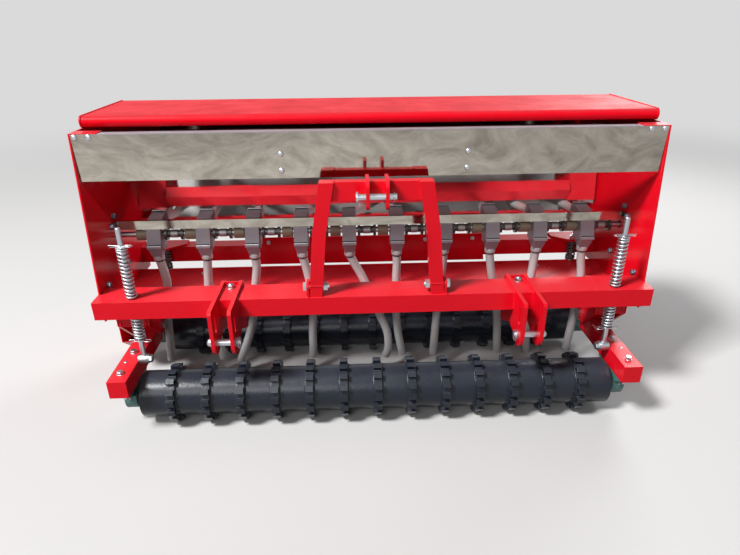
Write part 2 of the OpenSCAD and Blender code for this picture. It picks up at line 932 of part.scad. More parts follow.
hose(6);  // hose_7
hose(7);  // hose_8
hose(8);  // hose_9
hose(9);  // hose_10
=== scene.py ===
import math
import bpy
import numpy as np
from mathutils import Matrix, Vector


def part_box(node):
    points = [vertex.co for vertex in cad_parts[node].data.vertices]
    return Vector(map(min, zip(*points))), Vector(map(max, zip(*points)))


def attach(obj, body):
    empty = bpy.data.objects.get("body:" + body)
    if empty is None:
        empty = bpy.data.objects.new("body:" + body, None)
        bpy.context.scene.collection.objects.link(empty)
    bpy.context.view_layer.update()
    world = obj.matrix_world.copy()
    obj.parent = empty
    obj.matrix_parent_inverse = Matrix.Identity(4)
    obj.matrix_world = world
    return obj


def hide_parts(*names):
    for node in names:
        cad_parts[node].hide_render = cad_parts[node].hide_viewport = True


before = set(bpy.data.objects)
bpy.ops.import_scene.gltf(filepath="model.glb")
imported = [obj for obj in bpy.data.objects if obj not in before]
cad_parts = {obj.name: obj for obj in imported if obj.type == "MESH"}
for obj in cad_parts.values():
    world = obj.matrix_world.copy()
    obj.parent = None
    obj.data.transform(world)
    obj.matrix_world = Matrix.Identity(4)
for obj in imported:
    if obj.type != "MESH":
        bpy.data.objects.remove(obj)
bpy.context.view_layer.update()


# Camera. It stands 1.25 m up in front of the machine and looks down on it through a wide lens,
# which is the photograph's viewing angle.
camera_place = Vector((-0.0792, -1.7792, 1.2455))
camera_pitch, camera_yaw, camera_roll = (math.radians(a) for a in (25.03, 2.10, -0.49))
sight = Vector((math.sin(camera_yaw) * math.cos(camera_pitch),
                math.cos(camera_yaw) * math.cos(camera_pitch), -math.sin(camera_pitch)))
level = Vector((math.cos(camera_yaw), -math.sin(camera_yaw), 0))
plumb = level.cross(sight)
camera_right = math.cos(camera_roll) * level + math.sin(camera_roll) * plumb
camera_up = -math.sin(camera_roll) * level + math.cos(camera_roll) * plumb
camera = bpy.data.objects.new("camera", bpy.data.cameras.new("camera"))
camera.data.sensor_width = 36
camera.data.lens = 27.09
camera.matrix_world = Matrix.Translation(camera_place) @ Matrix(
    (camera_right, camera_up, -sight)).transposed().to_4x4()
bpy.context.scene.collection.objects.link(camera)
bpy.context.scene.camera = camera


# Drop hoses. Ten lengths of soft grey hose are pushed over the necks of the spouts and hang between
# the two rollers. Each is moulded tube with a 3 mm wall and ends open just above the ground.
rows = 10
row_pitch = 0.167
hose_outside = 0.030
hose_wall = 0.003
hose_sides = 28
bore_rings = 11
hose_exit_y = 0.050
# Each row of steps is a hose and each number in it how far the hose has strayed along X at that
# height. The drift is how far its lower end has swung along Y.
hose_heights = np.array([0.482, 0.445, 0.392, 0.318, 0.244, 0.169, 0.100, 0.060])
hose_steps = np.array([
    [0, 0.006, 0.011, 0, -0.010, -0.017, -0.022, -0.026],
    [0, -0.004, -0.009, -0.015, -0.013, -0.004, 0.002, 0.004],
    [0, 0.002, -0.006, -0.019, -0.029, -0.050, -0.076, -0.092],
    [0, 0.008, 0.018, 0.026, 0.025, 0.020, 0.018, 0.016],
    [0, 0.018, 0.045, 0.075, 0.103, 0.133, 0.139, 0.128],
    [0, 0.001, 0, 0, 0.001, 0.008, 0.019, 0.028],
    [0, 0, -0.004, -0.008, -0.013, -0.016, -0.019, -0.020],
    [0, 0.005, 0.015, 0.032, 0.047, 0.056, 0.062, 0.065],
    [0, -0.003, -0.005, -0.008, -0.005, -0.001, 0.005, 0.011],
    [0, 0.003, 0.012, 0.017, 0.013, 0.010, 0.007, 0.005]])
hose_drift = np.array([0.010, 0.010, -0.006, 0.008, -0.008, 0.006, 0, 0.010, -0.004, 0.010])


def row_x(row):
    """Place of a seed row on X: the rows are spaced evenly about the middle."""
    return (row - (rows - 1) / 2) * row_pitch


def smooth_path(points, steps):
    """A Catmull-Rom curve through the points. Between b and c, with neighbours a and d, it is
    half of 2b + (c - a)t + (2a - 5b + 4c - d)t^2 + (3b - 3c + d - a)t^3."""
    points = np.asarray(points, float)
    first = 2 * points[:1] - points[1:2]
    last = 2 * points[-1:] - points[-2:-1]
    padded = np.concatenate([first, points, last])
    a, b, c, d = padded[:-3, None], padded[1:-2, None], padded[2:-1, None], padded[3:, None]
    t = np.linspace(0, 1, steps, endpoint=False)[None, :, None]
    curve = 0.5 * (2 * b + (c - a) * t + (2 * a - 5 * b + 4 * c - d) * t ** 2
                   + (3 * b - 3 * c + d - a) * t ** 3)
    return np.concatenate([curve.reshape(-1, 3), points[-1:]])


def tube_rows(path, radius, sides, guide):
    """Rings round a path: centre + radius (u cos a + v sin a), where u is square to the path and
    to the guide direction, and v is square to the path and u."""
    path = np.asarray(path, float)
    along = np.gradient(path, axis=0)
    along /= np.linalg.norm(along, axis=1)[:, None]
    u = np.cross(along, guide)
    u /= np.linalg.norm(u, axis=1)[:, None]
    v = np.cross(along, u)
    a = np.linspace(0, 2 * math.pi, sides, endpoint=False)[None, :, None]
    radius = np.broadcast_to(radius, len(path))[:, None, None]
    return path[:, None] + radius * (u[:, None] * np.cos(a) + v[:, None] * np.sin(a))


def skin(rings):
    """A closed shape from rings of points: four-sided faces between neighbouring rings, and one
    face over each end. Its points and faces."""
    count, sides = rings.shape[:2]
    i = np.arange((count - 1) * sides)
    right = i - i % sides + (i + 1) % sides
    walls = np.stack([i, right, right + sides, i + sides], 1).tolist()
    ends = [list(range(sides - 1, -1, -1)), list(range((count - 1) * sides, count * sides))]
    return rings.reshape(-1, 3), walls + ends


def gather(shapes):
    """Several shapes as one: their points in a row, with each shape's faces moved up to match."""
    starts = np.cumsum([0] + [len(points) for points, faces in shapes])
    points = np.concatenate([points for points, faces in shapes])
    faces = [[corner + start for corner in face]
             for start, shape in zip(starts.tolist(), shapes) for face in shape[1]]
    return points, faces


def add_piece(name, shape, body, material, sharp=35):
    """A mesh object from a shape, with its edges sharp past an angle in degrees, that rides on a
    body and takes the given material."""
    mesh = bpy.data.meshes.new(name)
    mesh.from_pydata(shape[0].tolist(), [], shape[1])
    mesh.shade_smooth()
    mesh.set_sharp_from_angle(angle=math.radians(sharp))
    mesh.materials.append(material)
    piece = bpy.data.objects.new(name, mesh)
    bpy.context.scene.collection.objects.link(piece)
    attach(piece, body)
    return piece


def place_node(tree, kind, settings=None, inputs=None):
    """A shader node of one kind. An input is a plain value, or another node's output to link."""
    made = tree.nodes.new(kind)
    for name, value in (settings or {}).items():
        setattr(made, name, value)
    for name, value in (inputs or {}).items():
        if isinstance(value, bpy.types.NodeSocket):
            tree.links.new(value, made.inputs[name])
        else:
            made.inputs[name].default_value = value
    return made


def weathering_group():
    """Weathering, which every painted or plated part shares. Noise mottles the colour, and dust
    lies where the surface faces up, which on the red coats is also a painted sheen on the tops. The
    finish thins where a rounded edge turns away from its face.
    Bump gives the fine grain of the finish, on edges that are rounded by Bevel."""
    group = bpy.data.node_groups.new("weathering", "ShaderNodeTree")
    sockets = [("Colour", "NodeSocketColor"), ("Roughness", "NodeSocketFloat"),
               ("Mottle", "NodeSocketFloat"), ("Dust And Sheen Colour", "NodeSocketColor"),
               ("Dust And Sheen", "NodeSocketFloat"), ("Wear Colour", "NodeSocketColor"),
               ("Wear", "NodeSocketFloat"), ("Edge Radius", "NodeSocketFloat"),
               ("Grain Scale", "NodeSocketFloat"), ("Grain Height", "NodeSocketFloat")]
    for name, kind in sockets:
        group.interface.new_socket(name=name, in_out="INPUT", socket_type=kind)
    for name, kind in [("Colour", "NodeSocketColor"), ("Roughness", "NodeSocketFloat"),
                       ("Normal", "NodeSocketVector")]:
        group.interface.new_socket(name=name, in_out="OUTPUT", socket_type=kind)
    given = group.nodes.new("NodeGroupInput").outputs
    where = place_node(group, "ShaderNodeTexCoord").outputs["Object"]
    facing = place_node(group, "ShaderNodeNewGeometry").outputs["Normal"]

    cloud = place_node(group, "ShaderNodeTexNoise",
                       inputs={"Vector": where, "Scale": 9.0, "Detail": 5.0, "Roughness": 0.62})
    speck = place_node(group, "ShaderNodeTexNoise",
                       inputs={"Vector": where, "Scale": 210.0, "Detail": 3.0, "Roughness": 0.7})
    centred = place_node(group, "ShaderNodeMath", {"operation": "SUBTRACT"},
                         {0: cloud.outputs[0], 1: 0.5})
    swing = place_node(group, "ShaderNodeMath", {"operation": "MULTIPLY_ADD"},
                       {0: centred.outputs[0], 1: given["Mottle"], 2: 1.0})
    mottled = place_node(group, "ShaderNodeVectorMath", {"operation": "SCALE"},
                         {0: given["Colour"], "Scale": swing.outputs[0]})

    up = place_node(group, "ShaderNodeSeparateXYZ", inputs={0: facing}).outputs["Z"]
    lying = place_node(group, "ShaderNodeMapRange",
                       inputs={"Value": up, "From Min": 0.25, "From Max": 0.95,
                               "To Min": 0.12, "To Max": 1.0}).outputs[0]
    patchy = place_node(group, "ShaderNodeMapRange",
                        inputs={"Value": cloud.outputs[0], "From Min": 0.36, "From Max": 0.70,
                                "To Min": 0.3, "To Max": 0.9}).outputs[0]
    speckled = place_node(group, "ShaderNodeMath", {"operation": "MULTIPLY_ADD"},
                          {0: speck.outputs[0], 1: 0.7, 2: patchy}).outputs[0]
    settled = place_node(group, "ShaderNodeMath", {"operation": "MULTIPLY"},
                         {0: lying, 1: speckled}).outputs[0]
    # Dust on faces that face up. On the red coats it is partly a painted sheen.
    dust_and_sheen = place_node(group, "ShaderNodeMath", {"operation": "MULTIPLY", "use_clamp": True},
                      {0: settled, 1: given["Dust And Sheen"]}).outputs[0]

    bevel = place_node(group, "ShaderNodeBevel", {"samples": 6},
                       {"Radius": given["Edge Radius"]}).outputs["Normal"]
    agree = place_node(group, "ShaderNodeVectorMath", {"operation": "DOT_PRODUCT"},
                       {0: bevel, 1: facing}).outputs["Value"]
    edge = place_node(group, "ShaderNodeMapRange",
                      inputs={"Value": agree, "From Min": 0.985, "From Max": 0.86}).outputs[0]
    chips = place_node(group, "ShaderNodeMapRange",
                       inputs={"Value": cloud.outputs[0], "From Min": 0.50,
                               "From Max": 0.66}).outputs[0]
    worn_edge = place_node(group, "ShaderNodeMath", {"operation": "MULTIPLY"},
                           {0: edge, 1: chips}).outputs[0]
    wear = place_node(group, "ShaderNodeMath", {"operation": "MULTIPLY", "use_clamp": True},
                      {0: worn_edge, 1: given["Wear"]}).outputs[0]

    dusted_and_sheened = place_node(group, "ShaderNodeMix", {"data_type": "RGBA"},
                        {0: dust_and_sheen, 6: mottled.outputs[0], 7: given["Dust And Sheen Colour"]}).outputs[2]
    worn = place_node(group, "ShaderNodeMix", {"data_type": "RGBA"},
                      {0: wear, 6: dusted_and_sheened, 7: given["Wear Colour"]}).outputs[2]
    dull = place_node(group, "ShaderNodeMath", {"operation": "MULTIPLY_ADD"},
                      {0: dust_and_sheen, 1: 0.45, 2: given["Roughness"]}).outputs[0]
    uneven = place_node(group, "ShaderNodeMath", {"operation": "MULTIPLY_ADD", "use_clamp": True},
                        {0: centred.outputs[0], 1: 0.12, 2: dull}).outputs[0]
    grain = place_node(group, "ShaderNodeTexNoise",
                       inputs={"Vector": where, "Scale": given["Grain Scale"], "Detail": 3.0})
    raised = place_node(group, "ShaderNodeBump",
                        inputs={"Strength": 1.0, "Distance": given["Grain Height"],
                                "Height": grain.outputs[0], "Normal": bevel})
    out = group.nodes.new("NodeGroupOutput")
    group.links.new(worn, out.inputs["Colour"])
    group.links.new(uneven, out.inputs["Roughness"])
    group.links.new(raised.outputs[0], out.inputs["Normal"])
    return group


weathering = weathering_group()


def finish_material(name, looks, shader_values):
    """A material whose one Principled shader takes its colour, roughness and normal from the
    weathering group. looks are the group's values, and shader_values the shader's own."""
    material = bpy.data.materials.new(name)
    material.use_nodes = True
    tree = material.node_tree
    shader = tree.nodes["Principled BSDF"]
    for socket, value in shader_values.items():
        shader.inputs[socket].default_value = value
    effect = place_node(tree, "ShaderNodeGroup", {"node_tree": weathering}, looks)
    tree.links.new(effect.outputs["Colour"], shader.inputs["Base Color"])
    tree.links.new(effect.outputs["Roughness"], shader.inputs["Roughness"])
    tree.links.new(effect.outputs["Normal"], shader.inputs["Normal"])
    return material


def coat_nodes(names, material):
    """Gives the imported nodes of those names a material."""
    for name in names:
        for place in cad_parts[name].material_slots:
            place.material = material


soft_hose = finish_material(
    "soft_grey_hose",
    {"Colour": (0.45, 0.45, 0.455, 1), "Roughness": 0.34, "Mottle": 0.30,
     "Dust And Sheen Colour": (0.37, 0.34, 0.29, 1), "Dust And Sheen": 0.35, "Wear Colour": (0.5, 0.5, 0.48, 1),
     "Wear": 0.0, "Edge Radius": 0.0005, "Grain Scale": 60.0, "Grain Height": 0.0004},
    {"Subsurface Weight": 0.25, "Subsurface Scale": 0.01, "Coat Weight": 0.25,
     "Coat Roughness": 0.2})

for row in range(rows):
    fall = (hose_heights[0] - hose_heights) / (hose_heights[0] - hose_heights[-1])
    route = np.stack([row_x(row) + hose_steps[row],
                      hose_exit_y + hose_drift[row] * fall ** 2, hose_heights], 1)
    fine = smooth_path(route, steps=9)
    outer = tube_rows(fine, hose_outside / 2, hose_sides, (0, 1, 0))
    # The bore's rings run back up from the open end, turned to start where the outer ones do.
    bore = tube_rows(fine[:-bore_rings - 1:-1], hose_outside / 2 - hose_wall, hose_sides, (0, 1, 0))
    bore = np.roll(bore[:, ::-1], hose_sides // 2 + 1, axis=1)
    hose = add_piece(f"drop_hose_{row + 1}", skin(np.concatenate([outer, bore])), "frame",
                     soft_hose, sharp=60)
    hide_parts(f"hose_{row + 1}")


# Hose collars. A ring of the hose's own material swells over each spout's neck. A thin black band
# round the hose under it is a painted shade line under the collar.
collar_rows = [(0.0181, 0.4824), (0.0188, 0.4840), (0.0190, 0.4905), (0.0186, 0.4965),
               (0.0181, 0.4978)]
# The black band is painted shade under the collar's lower edge.
shade_band_rows = [(0.0152, 0.4762), (0.0166, 0.4770), (0.0166, 0.4812), (0.0152, 0.4820)]


def turned(profile, sides):
    """Rings of a shape turned round Z: each row of the profile is a radius and a height."""
    profile = np.asarray(profile, float)
    a = np.linspace(0, 2 * math.pi, sides, endpoint=False)[None]
    return np.stack([profile[:, :1] * np.cos(a), profile[:, :1] * np.sin(a),
                     np.broadcast_to(profile[:, 1:], (len(profile), sides))], 2)


# Black rubber for the knob's grip. The same flat black also makes the painted shade lines under the
# hose collars and round the spout lips.
black_rubber_and_painted_shade = finish_material(
    "black_rubber_and_painted_shade",
    {"Colour": (0.022, 0.022, 0.026, 1), "Roughness": 0.5, "Mottle": 0.4,
     "Dust And Sheen Colour": (0.30, 0.26, 0.22, 1), "Dust And Sheen": 0.4, "Wear Colour": (0.1, 0.1, 0.1, 1),
     "Wear": 0.2, "Edge Radius": 0.0008, "Grain Scale": 300.0, "Grain Height": 0.0003},
    {"Specular IOR Level": 0.4})
for name, profile, slot, material in (
        ("hose_collars", collar_rows, "hose_pvc", soft_hose),
        ("hose_shade_bands", shade_band_rows, "black_spring", black_rubber_and_painted_shade)):
    points, faces = skin(turned(profile, 32))
    add_piece(name, gather([(points + (row_x(row), hose_exit_y, 0), faces) for row in range(rows)]),
              "frame", material)


# Red frame. Square tubes, plates and folded sheet are welded together, and the whole frame has a
# glossy red powder coat. The lid, the bracket plates and the guards are coated in the same red.
# The pinkish red laid on faces that face up is partly dust and partly a painted sheen of the sky on
# the tops.
red_looks = {"Colour": (0.63, 0.0004, 0.0095, 1), "Roughness": 0.20, "Mottle": 0.14,
             "Dust And Sheen Colour": (0.36, 0.062, 0.072, 1), "Dust And Sheen": 0.30,
             "Wear Colour": (0.30, 0.05, 0.05, 1), "Wear": 0.25, "Edge Radius": 0.0014,
             "Grain Scale": 420.0, "Grain Height": 0.00008}
red_coat = finish_material("red_powder_coat", red_looks, {"Specular IOR Level": 0.16})
coat_nodes(["main_beam", "rear_beam", "beam_angle", "hose_rail", "roller_shield",
            "rear_centre_plate", "side_plate_left", "side_plate_right", "lid_hinge_straps",
            "hinge_brackets", "mast_legs", "mast_top_bar", "mast_feet", "top_link_clevis",
            "lower_hitch_left", "lower_hitch_right", "front_arms", "rear_arms",
            "arm_bracket_left", "arm_bracket_right", "spring_lugs", "chain_guard",
            "rate_adjuster"], red_coat)


# Lid. One red steel sheet is folded down at its edges and swings on three straps at the back. It
# has the frame's coat, duller and less glossy. Its faces that face up carry more of a darker,
# greyer red, which is partly dust and partly a painted sheen of the sky that also dims its lit top.
lid_coat = finish_material(
    "lid_coat",
    red_looks | {"Roughness": 0.24, "Dust And Sheen Colour": (0.30, 0.030, 0.036, 1), "Dust And Sheen": 0.62},
    {"Specular IOR Level": 0.06})
coat_nodes(["lid"], lid_coat)


# Frame welds. The tubes, plates and lugs are joined by rippled fillets, 4 to 6 mm wide, and the
# roller shield's back edge is rolled. All of it lies under the same red coat.
def weld_bead(corners, radius, guide, step=0.0015):
    """A bead along straight runs between corners. With s the way along it, its radius is
    r (1 + sin(2 pi s / 0.0045) / 7), and it ends in half of that."""
    corners = np.asarray(corners, float)
    way = np.concatenate([[0], np.cumsum(np.linalg.norm(np.diff(corners, axis=0), axis=1))])
    s = np.linspace(0, way[-1], max(8, int(way[-1] / step)))
    path = np.stack([np.interp(s, way, corners[:, k]) for k in range(3)], 1)
    swell = radius * (1 + np.sin(2 * math.pi * s / 0.0045) / 7)
    swell[[0, -1]] *= 0.5
    return skin(tube_rows(path, swell, 8, guide))


def both_sides(shape):
    """The shape and its mirror image on the other side of the machine, with its faces turned."""
    points, faces = shape
    return gather([shape, (points * (-1, 1, 1), [face[::-1] for face in faces])])


bead = 0.0026
beam_low, beam_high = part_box("main_beam")
leg_low, leg_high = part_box("mast_legs")
bar_low, bar_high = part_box("mast_top_bar")
foot_low, foot_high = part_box("mast_feet")
lug_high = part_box("spring_lugs")[1]
clevis_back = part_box("top_link_clevis")[1].y
bracket_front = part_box("arm_bracket_right")[0].y
shield_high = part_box("roller_shield")[1]
leg_in, leg_out, leg_weld_z = 0.1685, 0.2097, 0.487
bar_end_x, bar_slant = 0.1245, 0.010
rear_end, rear_front, rear_back, rear_foot, rear_top = 0.8825, 0.242, 0.302, 0.390, 0.450
arm_top, pivot_half = 0.223, 0.0115
arm_welds = [(0.790, 0.850, 0.017), (0.820, 0.880, 0.082)]
bracket_weld_ends = (0.302, 0.378)
clevis_plate_sides = (0.0228, 0.0332)
bracket_plate_sides = (0.7675, 0.7785, 0.8615, 0.8725)
hitch_plate_sides = (0.438, 0.451, 0.497, 0.510)

frame_welds = [
    weld_bead([(leg_in, leg_high.y, leg_weld_z), (leg_in, leg_low.y, leg_weld_z),
               (leg_out, leg_low.y, leg_weld_z), (leg_out, leg_high.y, leg_weld_z),
               (leg_in, leg_high.y, leg_weld_z)], 0.0019, (0, 0, 1)),
    weld_bead([(bar_end_x, bar_high.y, bar_high.z), (bar_end_x, bar_low.y - 0.001, bar_high.z)],
              bead, (1, 0, 0)),
    weld_bead([(bar_end_x, bar_low.y - 0.001, bar_high.z - 0.001),
               (bar_end_x + bar_slant, bar_low.y - 0.001, bar_low.z + 0.001)], bead, (0, 1, 0)),
    weld_bead([(foot_high.x - 0.007, foot_low.y - 0.001, beam_high.z + 0.0005),
               (foot_high.x + 0.001, foot_low.y - 0.001, beam_high.z + 0.0005),
               (foot_high.x + 0.001, foot_high.y + 0.001, beam_high.z + 0.0005),
               (foot_high.x - 0.007, foot_high.y + 0.001, beam_high.z + 0.0005)], bead,
              (0, 0, 1)),
    weld_bead([(rear_end, rear_back, rear_foot), (rear_end, rear_back, rear_top),
               (rear_end, rear_front, rear_top)], 0.003, (1, 0, 0)),
    weld_bead([(lug_high.x - 0.125, lug_high.y - 0.0005, rear_top + 0.0005),
               (lug_high.x - 0.003, lug_high.y - 0.0005, rear_top + 0.0005)], bead, (0, 1, 0))]
frame_welds += [weld_bead([(left, y + side * pivot_half, arm_top + 0.0015),
                           (right, y + side * pivot_half, arm_top + 0.0015)], 0.003, (0, 1, 0))
                for left, right, y in arm_welds for side in (-1, 1)]
frame_welds += [weld_bead([(x, clevis_back - 0.0005, bar_low.z + 0.001),
                           (x, clevis_back - 0.0005, bar_high.z - 0.001)], 0.0022, (0, 1, 0))
                for x in clevis_plate_sides]
frame_welds += [weld_bead([(x, bracket_front, z) for z in bracket_weld_ends], bead, (0, 1, 0))
                for x in bracket_plate_sides]
frame_welds += [weld_bead([(x, beam_low.y - 0.0005, beam_low.z + 0.002),
                           (x, beam_low.y - 0.0005, beam_high.z + 0.0005),
                           (x, beam_high.y, beam_high.z + 0.0005),
                           (x, beam_high.y + 0.050, beam_high.z - 0.0015)], 0.003, (1, 0, 0))
                for x in hitch_plate_sides]
shield_edge = [(x, shield_high.y - 0.0015, shield_high.z + 0.00297)
               for x in (0, shield_high.x - 0.0002)]
frame_welds.append(skin(tube_rows(shield_edge, 0.0034, 12, (0, 0, 1))))
add_piece("frame_welds", both_sides(gather(frame_welds)), "frame", red_coat, sharp=60)


# Hopper sheet. The front panel, the slopes and the seed channel are bright stainless sheet with a
# mirror finish, slightly wavy from rolling and folding. The front panel and the channel are a
# little less smooth, with a warm beige tone that swirls between dark and light: a painted
# reflection of gravel.
def sheet_material(name, dark, light, smooth, dull, wave):
    """Mirror sheet. Its tone swirls between dark and light and its roughness between smooth and
    dull with a distorted noise. Broad waves of a given height bend what it reflects."""
    material = bpy.data.materials.new(name)
    material.use_nodes = True
    tree = material.node_tree
    shader = tree.nodes["Principled BSDF"]
    shader.inputs["Metallic"].default_value = 1.0
    where = place_node(tree, "ShaderNodeTexCoord").outputs["Object"]
    stretched = place_node(tree, "ShaderNodeMapping", inputs={"Vector": where,
                                                              "Scale": (1.0, 2.0, 1.6)})
    swirls = place_node(tree, "ShaderNodeTexNoise",
                        inputs={"Vector": stretched.outputs[0], "Scale": 5.5, "Detail": 9.0,
                                "Roughness": 0.66, "Distortion": 2.4})
    waves = place_node(tree, "ShaderNodeTexNoise",
                       inputs={"Vector": stretched.outputs[0], "Scale": 3.0, "Detail": 1.5,
                               "Roughness": 0.4})
    share = place_node(tree, "ShaderNodeMapRange",
                       inputs={"Value": swirls.outputs[0], "From Min": 0.34, "From Max": 0.66})
    tone = place_node(tree, "ShaderNodeMix", {"data_type": "RGBA"},
                      {0: share.outputs[0], 6: dark, 7: light})
    rough = place_node(tree, "ShaderNodeMapRange",
                       inputs={"Value": share.outputs[0], "To Min": dull, "To Max": smooth})
    rolled = place_node(tree, "ShaderNodeBump",
                        inputs={"Strength": 1.0, "Distance": wave, "Height": waves.outputs[0]})
    tree.links.new(tone.outputs[2], shader.inputs["Base Color"])
    tree.links.new(rough.outputs[0], shader.inputs["Roughness"])
    tree.links.new(rolled.outputs[0], shader.inputs["Normal"])
    return material


# The warm beige swirls of the panel and channel are a painted reflection of gravel.
panel_painted_reflection = sheet_material("panel_painted_reflection", dark=(0.29, 0.262, 0.222, 1),
                             light=(0.50, 0.462, 0.400, 1), smooth=0.05, dull=0.12, wave=0.004)
mirror_sheet = sheet_material("mirror_sheet", dark=(0.66, 0.65, 0.64, 1),
                              light=(0.76, 0.75, 0.74, 1), smooth=0.03, dull=0.06, wave=0.0012)
coat_nodes(["hopper_front_panel", "hopper_channel"], panel_painted_reflection)
coat_nodes(["hopper_front_slope", "hopper_rear_wall"], mirror_sheet)


# Panel fold. The top edge of the front panel is bent back round a small radius. The strip behind it
# is a duller, partly metallic sheet in lilac grey, which is a painted reflection of the sky. It
# shows as a bright line and a grey band under the lid.
def square_bar(x_ends, y_ends, z_ends):
    """A bar with square corners along X: a ring of its four corners at each end."""
    (front, back), (low, high) = y_ends, z_ends
    corners = [(x, y, z) for x in x_ends
               for y, z in ((front, low), (back, low), (back, high), (front, high))]
    return skin(np.array(corners).reshape(2, 4, 3))


# Lilac grey on the fold and the strip behind it: a painted reflection of the sky.
painted_sky_sheet = finish_material(
    "painted_sky_sheet",
    {"Colour": (0.30, 0.27, 0.31, 1), "Roughness": 0.42, "Mottle": 0.3,
     "Dust And Sheen Colour": (0.30, 0.27, 0.25, 1), "Dust And Sheen": 0.2, "Wear Colour": (0.5, 0.5, 0.5, 1),
     "Wear": 0.2, "Edge Radius": 0.0006, "Grain Scale": 300.0, "Grain Height": 0.0001},
    {"Metallic": 0.35})
panel_low, panel_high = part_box("hopper_front_panel")
fold_radius, fold_inset = 0.0020, 0.0019
fold_half, strip_half = 0.8826, 0.806
fold_line = [(x, panel_low.y + fold_inset, panel_high.z - fold_inset)
             for x in (-fold_half, fold_half)]
panel_strip = square_bar((-strip_half, strip_half), (panel_low.y + 0.004, panel_low.y + 0.032),
                         (panel_high.z - 0.0005, panel_high.z + 0.0004))
add_piece("panel_fold", gather([skin(tube_rows(fold_line, fold_radius, 20, (0, 0, 1))),
                                panel_strip]), "frame", painted_sky_sheet)


# Hopper bolts. Round headed bolts of plated steel hold the front panel. Hexagon heads hold the
# hinge brackets behind, and blue plated ones inside the side plates hold the hopper's ends.
zinc = finish_material(
    "zinc_plate",
    {"Colour": (0.48, 0.50, 0.54, 1), "Roughness": 0.32, "Mottle": 0.35,
     "Dust And Sheen Colour": (0.40, 0.34, 0.27, 1), "Dust And Sheen": 0.12, "Wear Colour": (0.35, 0.33, 0.30, 1),
     "Wear": 0.3, "Edge Radius": 0.0007, "Grain Scale": 500.0, "Grain Height": 0.00008},
    {"Metallic": 1.0})


def aimed(shape, place, axis):
    """The shape with its own Z turned along an axis and its origin moved to a place."""
    turn = np.array(Vector(axis).to_track_quat("Z", "Y").to_matrix())
    return shape[0] @ turn.T + place, shape[1]


def dome_head(radius, high):
    """A round head on a short straight foot. Above the foot its radius is r cos a and its height
    h (0.12 + 0.88 sin a), for a from 0 to 80 degrees."""
    a = np.radians([0, 0, 12, 26, 40, 54, 68, 80])
    rows_up = np.stack([radius * np.cos(a), high * (0.12 + 0.88 * np.sin(a))], 1)
    rows_up[0, 1] = 0
    return skin(turned(rows_up, 24))


def hex_head(flats, high, tip=0.0):
    """A hexagon head or nut on its washer, with Z = 0 on the part. The washer is 1.24 times the
    flats wide and 0.12 times thick. The head's top corners are cut. A thread of a given length
    stands out of a nut, and its radius is 0.30 and 0.27 times the flats at each half pitch."""
    corner = flats / 2 / math.cos(math.pi / 6)
    plate = 0.12 * flats
    shapes = [skin(turned([(flats * 0.62, 0), (flats * 0.62, plate * 0.8), (flats * 0.59, plate)],
                          28)),
              skin(turned([(corner, plate), (corner, plate + high * 0.82),
                           (corner * 0.88, plate + high)], 6))]
    if tip:
        pitch = 0.0015
        count = max(2, int(tip / pitch))
        ridge = [(flats * (0.27 if k % 2 else 0.30), plate + high + k * pitch / 2)
                 for k in range(2 * count)]
        shapes.append(skin(turned(ridge + [(flats * 0.22, ridge[-1][1] + 0.0008)], 20)))
    return gather(shapes)


panel_bolts = [(0.872, 0.937), (0.831, 0.937), (0.281, 0.880), (0.281, 0.830)]
hinge_places = [-0.600, 0, 0.600]
hinge_bolt_y, hinge_bolt_z, hinge_bolt_step = 0.287, 0.906, 0.030
hopper_bolts = [both_sides(aimed(dome_head(0.0088, 0.0050), (x, panel_low.y, z), (0, -1, 0)))
                for x, z in panel_bolts]
hopper_bolts += [aimed(hex_head(0.010, 0.005), (x + step, hinge_bolt_y, hinge_bolt_z), (0, 1, 0))
                 for x in hinge_places for step in (-hinge_bolt_step, hinge_bolt_step)]
add_piece("hopper_bolts", gather(hopper_bolts), "frame", zinc)

blue_zinc = finish_material(
    "blue_zinc",
    {"Colour": (0.20, 0.22, 0.28, 1), "Roughness": 0.30, "Mottle": 0.4,
     "Dust And Sheen Colour": (0.30, 0.26, 0.22, 1), "Dust And Sheen": 0.12, "Wear Colour": (0.40, 0.42, 0.46, 1),
     "Wear": 0.6, "Edge Radius": 0.0008, "Grain Scale": 400.0, "Grain Height": 0.0001},
    {"Metallic": 0.9})
plate_inside = 0.883
plate_bolt_places = [(0.021, 0.615), (-0.088, 0.452), (0.093, 0.457), (0.235, 0.640)]
plate_bolts = [aimed(hex_head(0.017, 0.0085), (plate_inside, y, z), (-1, 0, 0))
               for y, z in plate_bolt_places]
add_piece("plate_bolts", both_sides(gather(plate_bolts)), "frame", blue_zinc)


# Seed spouts and metering cups. They are mouldings in satin grey. The cups are screwed under the
# seed channel, and each has a spout in front that narrows down to its hose.
grey_moulding = finish_material(
    "grey_moulding",
    {"Colour": (0.225, 0.212, 0.240, 1), "Roughness": 0.40, "Mottle": 0.22,
     "Dust And Sheen Colour": (0.35, 0.31, 0.27, 1), "Dust And Sheen": 0.25, "Wear Colour": (0.45, 0.44, 0.46, 1),
     "Wear": 0.6, "Edge Radius": 0.0015, "Grain Scale": 260.0, "Grain Height": 0.0002},
    {"Specular IOR Level": 0.45})
coat_nodes(["metering_cups", "seed_funnels"], grey_moulding)


